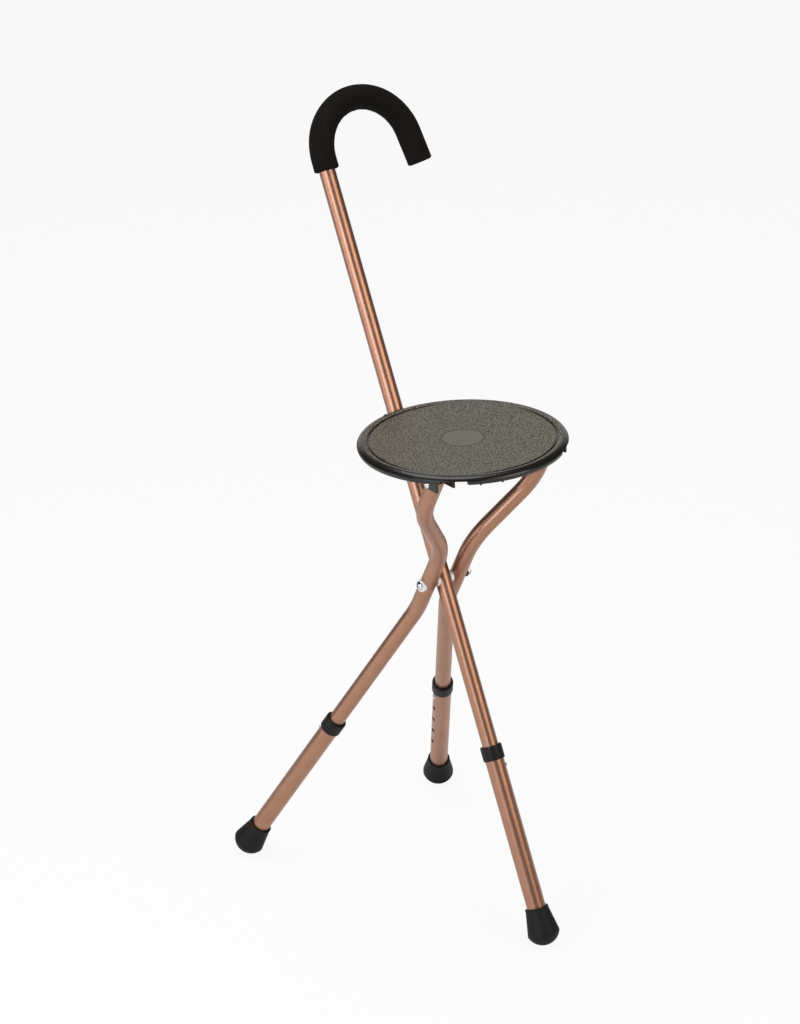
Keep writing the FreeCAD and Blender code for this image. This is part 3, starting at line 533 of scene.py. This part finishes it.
def grip(corner=2.4 * MM, high=0.1 * MM, bore=TUBE_R + 0.25 * MM, depth=5 * MM,
         hem=4 * MM, sides=96):
    """The tube's circle with a wavering radius: foam is thinner inside the bend, where it
    gathers in shallow folds. Folds and lumps are sines of the distance along, of different
    lengths. Both ends are rounded over the corner and turn into the bore, each ring of it
    one hem further on the UV map."""
    line = densified(crook_line(GRIP_START, CROOK_TAIL + GRIP_OVERHANG), 1.2 * MM)
    run = distances(line)
    u = angles(sides)
    from_end = np.minimum(run, run[-1] - run) / corner
    edge = np.sqrt(1 - (1 - np.clip(from_end, 0, 1)) ** 2)[:, None]
    bend = np.clip((run - (CROOK_START - GRIP_START)) / (CROOK_R * CROOK_TURN), 0, 1)
    inner = np.sin(math.pi * bend)[:, None] ** 0.5 * np.clip(np.sin(u), 0, 1) ** 2
    fold, crease, lump = (np.sin(run * FULL_TURN / length + phase)[:, None]
                          for length, phase in ((17 * MM, 0.7), (9.3 * MM, 0), (61 * MM, 0)))
    wave = high * (lump * np.cos(2 * u + 1.1) + inner * (fold + 0.6 * crease - 1))
    radius = GRIP_R - corner * (1 - edge) + wave * edge
    grid = swept(line, normals(line), radius * np.cos(u), radius * np.sin(u))
    caps = []
    for ring, middle, after in ((grid[0], line[0], line[1]), (grid[-1], line[-1], line[-2])):
        inwards = np.array([0, *(after - middle)])
        inwards /= np.linalg.norm(inwards)
        outwards = ring - [0, *middle]
        mouth = [0, *middle] + outwards * bore / np.linalg.norm(outwards, axis=1)[:, None]
        caps.append([mouth, mouth + inwards * depth])
    grid = np.concatenate([caps[0][::-1], grid, caps[1]])
    along = np.concatenate([[-2 * hem, -hem], run, run[-1] + [hem, 2 * hem]])
    return mesh_from_grid("foam_hand_grip", moved(grid, STICK), u / FULL_TURN, along,
                          FULL_TURN * GRIP_R)


foam = piece("foam_hand_grip", finished(grip(), crease=50), "shaft", FOAM, "foam", "foam_grip")


# Telescopic feet

def outline_mm(points, radii):
    """Rounded outline (radius, height) given in millimetres, divided every 3 mm."""
    return densified(rounded(np.array(points) * MM, np.array(radii) * MM), 3 * MM)


def ferrule_profile(draft=0.15, edge_up=1.4, clear=0.15, bore_down=5.5):
    """Domed tip r = R sin a, z = -R cos a, a crisp edge, a cone and a thin lip round a socket.
    Millimetres: draft and height of the edge, play round the sleeve and depth shown."""
    a = np.linspace(0, math.acos(EDGE_DROP / DOME_R), 40)
    dome = np.stack([DOME_R * np.sin(a), -DOME_R * np.cos(a)], 1)
    edge, drop, socket = dome[-1, 0] / MM, -EDGE_DROP / MM, SLEEVE_R / MM + clear
    lip, top, low = LIP_R / MM, FERRULE_TOP / MM, (FERRULE_TOP - FERRULE_LIP) / MM
    wall = outline_mm([(edge, drop), (edge - draft, drop + edge_up), (lip, low),
                       (lip + 0.1, top), (socket, top), (socket, top - bore_down)],
                      [0.7, 2.0, 0.5, 0.3])
    return np.concatenate([dome, wall[1:]])


def collar_profile(foot=3.0, snug=0.05, clear=0.15):
    """Band with rounded edges, a chamfered mouth round the inner tube and a thin foot.
    Millimetres: height of the foot, play round the sleeve and play round the tube."""
    seat, bore = SLEEVE_R / MM + snug, TUBE_R / MM + clear
    wide, top, inner = COLLAR_R / MM, COLLAR_LENGTH / MM, (COLLAR_LENGTH - COLLAR_LIP) / MM
    return outline_mm([(seat, foot), (seat, 0), (wide, 0), (wide, top), (bore + 0.05, top),
                       (bore, inner), (seat, inner), (seat, foot)],
                      [0.25, 0.9, 1.1, 0.7, 0.1, 0.1])


def button_profile():
    """Hardened steel button: straight sides and a crowned end, z = shoulder + crown cos a."""
    a = np.linspace(math.pi / 2, 0, 12)
    dome = np.stack([BUTTON_R * np.sin(a), BUTTON_REACH - BUTTON_CROWN * (1 - np.cos(a))], 1)
    return np.concatenate([[[0, BUTTON_ROOT], [BUTTON_R, BUTTON_ROOT]], dome])


def spring_clip(name, place, slant=0.26, turn=0.62, heel=0.81, tip=0.3, sides=24):
    """Bent spring strip: a rounded rectangle, width by thickness, carried along a line (x, z)
    that runs down behind the button, slants over and comes back up the tube's far wall. The
    rectangle is cos and sin of u, raised to low powers. Slant, heel and tip are heights as
    shares of the strip's reach, and turn is the place of its lowest bend on the way across."""
    middle = CLIP_THICK / 2
    near, far = BORE_R - CLIP_GAP - middle, middle - BORE_R + CLIP_GAP
    corners = [(near, CLIP_ABOVE), (near, -slant * CLIP_BELOW),
               (turn * far, middle - CLIP_BELOW), (far, -heel * CLIP_BELOW),
               (far, tip * CLIP_ABOVE)]
    line = densified(rounded(corners, np.array([2.0, 0.9, 1.2]) * MM), 1 * MM)
    rows = np.r_[0, :len(line), -1]
    full = np.ones((len(rows), 1))
    full[[0, -1]] = 0
    u = angles(sides) + math.pi / sides
    wide, thick = (size / 2 * np.sign(wave) * np.abs(wave) ** power * full for size, wave, power
                   in ((CLIP_WIDTH, np.cos(u), 0.25), (CLIP_THICK, np.sin(u), 0.4)))
    grid = swept(line[rows], normals(line)[rows], wide, thick)[:, :, [1, 0, 2]]
    return finished(mesh_from_grid(name, moved(grid, place), u / FULL_TURN,
                                   np.arange(len(rows)) * MM, CLIP_WIDTH * 2))


for name, foot in FEET.items():
    side_on = foot @ shift(0, 0, BUTTON_UP) @ turn_about("Z", BUTTON_TURN[name])
    turned_piece(name + "_rubber_tip", ferrule_profile(), foot,
                 name + "_foot", RUBBER, "rubber", name + "_ferrule", lowest=0.0)
    turned_piece(name + "_collar_ring", collar_profile(), foot @ shift(0, 0, COLLAR_FOOT),
                 name + "_foot", BLACK_NYLON, "black_plastic", name + "_collar")
    turned_piece(name + "_snap_pin", button_profile(), side_on @ turn_about("Y", math.pi / 2),
                 name + "_snap", CHROME, "chrome", name + "_button", turns=48)
    # The strip is one piece on no body; in the real clip the near leaf goes in with the button
    # and the far one stays against the tube
    strip = name + "_spring_strip"
    clip = piece(strip, spring_clip(strip, side_on), None, ZINC, "steel", name + "_clip")
    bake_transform(clip)
    # Turns the tube's own axis onto Z for the lines along it
    upright = Matrix(foot[:3, :3].tolist()).inverted().to_euler()
    dress([name + "_sleeve"], anodised_aluminium(name + "_anodised_sleeve", tuple(upright)))


# Pivot bolt: the shank and a domed head with a hexagon socket

def pivot_bolt(flats=3.4 * MM, depth=2.2 * MM, bevel=0.5 * MM, rim=0.1 * MM,
               narrowing=(0.97, 0.96), sides=96):
    """Shank and dome z = h - R + sqrt(R^2 - r^2) along the bolt. The dome's inner ring follows
    a hexagon, r = a / cos(v) with v the angle from the middle of the nearest flat, and a wall
    that narrows a little drops from it to the cone that the drill left."""
    crown = LEG_OFFSET + TUBE_R
    seat, end = crown + SADDLE + GAP, crown + 2 * GAP + WASHER + NUT + THREAD
    sphere = (HEAD_R ** 2 + HEAD_H ** 2) / (2 * HEAD_H)
    u = angles(sides)
    hexagon = flats / 2 / np.cos((u + math.pi / 6) % (math.pi / 3) - math.pi / 6)
    shell = HEAD_R + (hexagon - HEAD_R) * np.linspace(0, 1, 14)[1:, None]
    dome = HEAD_H - sphere + np.sqrt(sphere ** 2 - shell ** 2)
    shank = np.array([[0, -end - seat], [BOLT_R - bevel, -end - seat],
                      [BOLT_R, bevel - end - seat], [BOLT_R, -1.5 * seat], [BOLT_R, 0],
                      [HEAD_R - 2 * rim, 0], [HEAD_R, rim]])
    floor = HEAD_H - depth
    r = np.concatenate([shank[:, :1] + 0 * u, shell, [*(hexagon * n for n in narrowing), 0 * u]])
    z = np.concatenate([shank[:, 1:] + 0 * u, dome,
                        [dome[-1] - 1.2 * rim, floor + 0 * u, floor - bevel + 0 * u]])
    grid = np.stack([r * np.cos(u), r * np.sin(u), z + seat], 2)
    place = shift(*BOLT) @ turn_about("X", math.pi / 2)
    return finished(mesh_from_grid("socket_bolt", moved(grid, place), u / FULL_TURN,
                                   np.arange(len(r)) * MM, FULL_TURN * HEAD_R), crease=30)


piece("socket_bolt", pivot_bolt(), "shaft", CHROME, "chrome", "pivot_bolt")

# The seat, washers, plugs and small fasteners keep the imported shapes
dress(["seat_shell"], SEAT_ABS)
dress(["seat_cap"], CAP_PAINTED_SHEEN_ABS)
dress(["seat_hook", "nut_washer", "crook_plug", "leg_a_plug", "leg_b_plug"], PLAIN_ABS)
dress(["saddle_washer", "leg_a_spacer", "leg_b_spacer"], WHITE_NYLON)
dress(["seat_rivet_a", "seat_rivet_b"], CHROME)
dress(["pivot_nut", "stop_pin", "hook_screws"], ZINC)


# Studio

CAMERA_AT = (2.7951, -2.09627, 2.06491)
YAW, PITCH, ROLL = math.radians(145.49), math.radians(23.43), math.radians(2.49)
FOCAL_PX, TALL_PX = 3466.3, 1024
SENSOR_MM = 36.0


def paper_floor(half=40.0):
    """White paper. The camera and glass see it white. Gloss sees a painted glow on it, a pool
    of light brightest before the left lamp and fading further off, standing in for a lit sheet
    of paper in a dim room."""
    mesh = bpy.data.meshes.new("studio_floor")
    corners = [(-half, -half, 0), (half, -half, 0), (half, half, 0), (-half, half, 0)]
    mesh.from_pydata(corners, [], [(0, 1, 2, 3)])
    placed("studio_floor", mesh)
    paper, tree, shader = material("white_paper")
    wire(tree, shader, (), [("Base Color", "#D8D8D8"), ("Roughness", 0.9),
                            ("Specular IOR Level", 0.1)])
    seen = add(tree, "ShaderNodeLightPath")
    glow = add(tree, "ShaderNodeEmission", (), [("Color", "#FFFFFF"), ("Strength", 1.0)])
    spot = add(tree, "ShaderNodeTexCoord")
    far = add(tree, "ShaderNodeVectorMath", [(0, spot, "Object")], [(1, (-0.25, -1.3, 0.0))],
              operation="DISTANCE")
    # Painted pool of light for gloss: a glow fading from 0.6 m to 1.7 m off a spot before the
    # left lamp.
    painted_glow_pool = add(tree, "ShaderNodeMapRange", [("Value", far, "Value")],
                [("From Min", 0.6), ("From Max", 1.7), ("To Min", 0.7), ("To Max", 0.0)],
                interpolation_type="SMOOTHSTEP")
    direct = add(tree, "ShaderNodeMath",
                 [(0, seen, "Is Camera Ray"), (1, seen, "Is Transmission Ray")],
                 operation="MAXIMUM")
    whole = add(tree, "ShaderNodeMath", [(0, direct, "Value")], [(1, 0.90)],
                operation="MULTIPLY")
    share = add(tree, "ShaderNodeMath",
                [(0, seen, "Is Glossy Ray"), (1, painted_glow_pool, "Result"), (2, whole, "Value")],
                operation="MULTIPLY_ADD")
    mix = add(tree, "ShaderNodeMixShader",
              [(0, share, "Value"), (1, shader, "BSDF"), (2, glow, "Emission")])
    wire(tree, tree.nodes["Material Output"], [("Surface", mix, "Shader")])
    mesh.materials.append(paper)


def studio_air():
    """The camera and glass see white all round. Gloss sees the white backdrop behind the
    object and the dim room beside and before it, and all other light is an even grey."""
    world = bpy.data.worlds.new("studio_air")
    world.use_nodes = True
    bpy.context.scene.world = world
    air = world.node_tree
    even = wire(air, air.nodes["Background"], (), [("Color", "#FFFFFF"), ("Strength", 0.45)])
    way = add(air, "ShaderNodeTexCoord")
    facing = add(air, "ShaderNodeVectorMath", [(0, way, "Generated")],
                 [(1, (math.cos(YAW), math.sin(YAW), 0))], operation="DOT_PRODUCT")
    backdrop = add(air, "ShaderNodeMapRange", [("Value", facing, "Value")],
                   [("From Min", math.cos(math.radians(40))),
                    ("From Max", math.cos(math.radians(12))), ("To Min", 0.07), ("To Max", 1.0)],
                   interpolation_type="SMOOTHSTEP")
    room = add(air, "ShaderNodeBackground", [("Strength", backdrop, "Result")],
               [("Color", "#FFFFFF")])
    white = add(air, "ShaderNodeBackground", (), [("Color", "#FFFFFF"), ("Strength", 1.0)])
    path = add(air, "ShaderNodeLightPath")
    glossy = add(air, "ShaderNodeMixShader",
                 [(0, path, "Is Glossy Ray"), (1, even, "Background"), (2, room, "Background")])
    direct = add(air, "ShaderNodeMath",
                 [(0, path, "Is Camera Ray"), (1, path, "Is Transmission Ray")],
                 operation="MAXIMUM")
    both = add(air, "ShaderNodeMixShader",
               [(0, direct, "Value"), (1, glossy, "Shader"), (2, white, "Background")])
    wire(air, air.nodes["World Output"], [("Surface", both, "Shader")])


def lamp(name, where, aim, width, height, power, tint):
    """Rectangular softbox that faces the point it aims at."""
    data = bpy.data.lights.new(name, "AREA")
    data.shape, data.size, data.size_y, data.energy = "RECTANGLE", width, height, power
    data.color = linear(tint)[:3]
    thing = placed(name, data)
    thing.location = where
    thing.rotation_euler = (Vector(aim) - Vector(where)).to_track_quat("-Z", "Y").to_euler()


def camera():
    """Camera at the photograph's place: forward, right and down from yaw, pitch and roll."""
    ahead = np.array([math.cos(YAW) * math.cos(PITCH), math.sin(YAW) * math.cos(PITCH),
                      -math.sin(PITCH)])
    right = np.array([math.sin(YAW), -math.cos(YAW), 0.0])
    down = np.cross(ahead, right)
    right, down = (math.cos(ROLL) * right + math.sin(ROLL) * down,
                   math.cos(ROLL) * down - math.sin(ROLL) * right)
    data = bpy.data.cameras.new("photo_camera")
    data.sensor_width, data.lens = SENSOR_MM, FOCAL_PX / TALL_PX * SENSOR_MM
    data.clip_start, data.clip_end = 0.05, 100.0
    thing = placed("photo_camera", data)
    rows = np.column_stack([right, -down, -ahead, CAMERA_AT]).tolist()
    thing.matrix_world = Matrix(rows + [[0, 0, 0, 1]])
    bpy.context.scene.camera = thing


paper_floor()
studio_air()
lamp("left_softbox", (0.75, -2.38, 1.25), (-0.2, 0, 0.55), 1.5, 1.5, 32, "#EEF2FF")
lamp("low_softbox", (-1.0, -2.3, 0.75), (-0.25, 0, 0.4), 0.9, 1.1, 9, "#F4F2FF")
lamp("right_softbox", (2.1, 0.75, 1.6), (-0.2, 0, 0.5), 1.7, 1.5, 25, "#FFF4EA")
lamp("top_softbox", (-0.5, -0.3, 3.0), (-0.2, 0, 0.4), 2.0, 2.0, 42, "#FFFFFF")
camera()
bpy.context.scene.view_settings.view_transform = "Standard"
